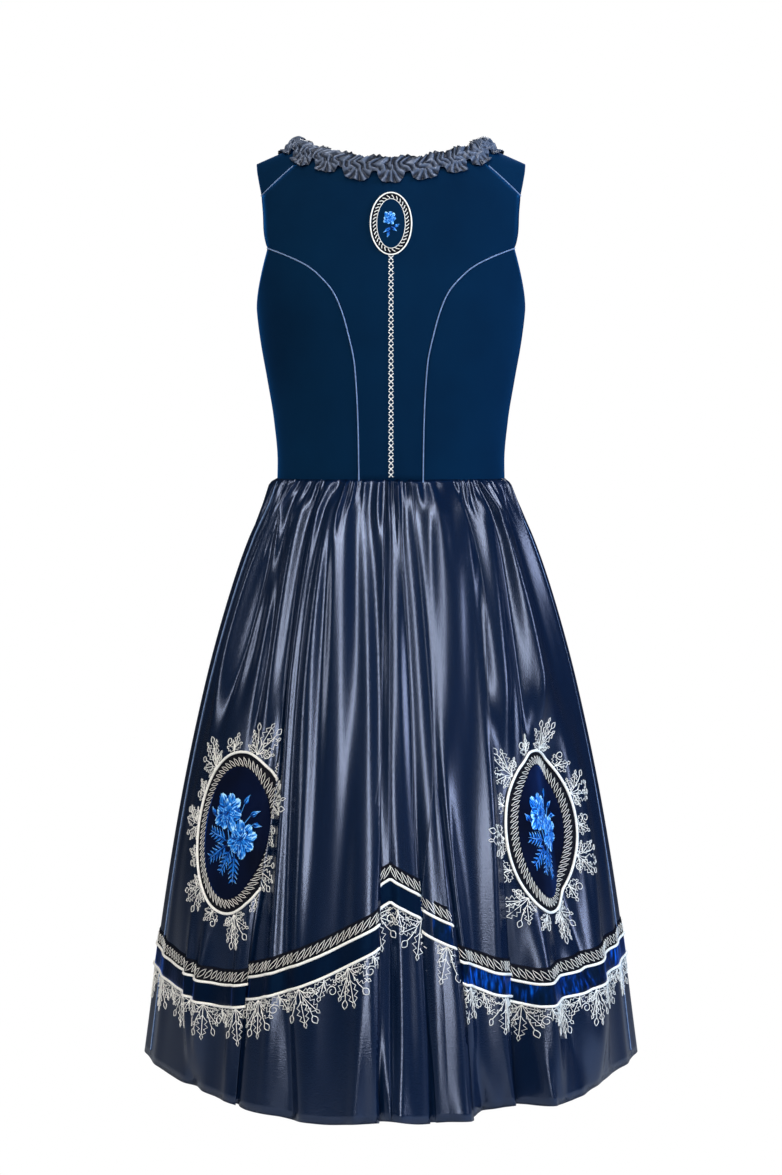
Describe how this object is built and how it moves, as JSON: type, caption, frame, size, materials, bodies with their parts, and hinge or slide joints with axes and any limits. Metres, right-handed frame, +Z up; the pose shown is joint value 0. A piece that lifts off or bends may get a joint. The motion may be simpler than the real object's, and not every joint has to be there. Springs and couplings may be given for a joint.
{
  "type": "sleeveless dirndl dress",
  "caption": "Sleeveless dress with a fitted velvet bodice, a gathered flared satin skirt, a ruched neck trim and an embroidered velvet band and ovals.",
  "frame": {"origin": "the middle of the shoulder line, level with where the straps rest on the wearer's shoulders", "axes": "+Z up; -Y towards the back of the dress, which carries the ovals; +X towards the wearer's right"},
  "size_m": [0.5868, 0.5992, 1.0842],
  "materials": {
    "velvet": "matt pile",
    "satin": "satin",
    "ruche": "satin",
    "piping": "satin",
    "band": "short pile"
  },
  "bodies": {
    "root": {"bodice_back": "velvet", "bodice_back_side_right": "velvet", "bodice_back_side_left": "velvet", "bodice_front_right": "velvet", "bodice_front_left": "velvet", "bodice_front_side_right": "velvet", "bodice_front_side_left": "velvet", "piping_back_right": "piping", "piping_back_left": "piping", "piping_shoulder_right": "piping", "piping_shoulder_left": "piping", "piping_front_right": "piping", "piping_front_left": "piping", "neck_ruche": "ruche", "skirt_back_left": "satin", "skirt_back_right": "satin", "skirt_front": "satin", "velvet_band": "band", "oval_left": "band", "oval_right": "band", "oval_bodice": "band"}
  },
  "joints": []
}
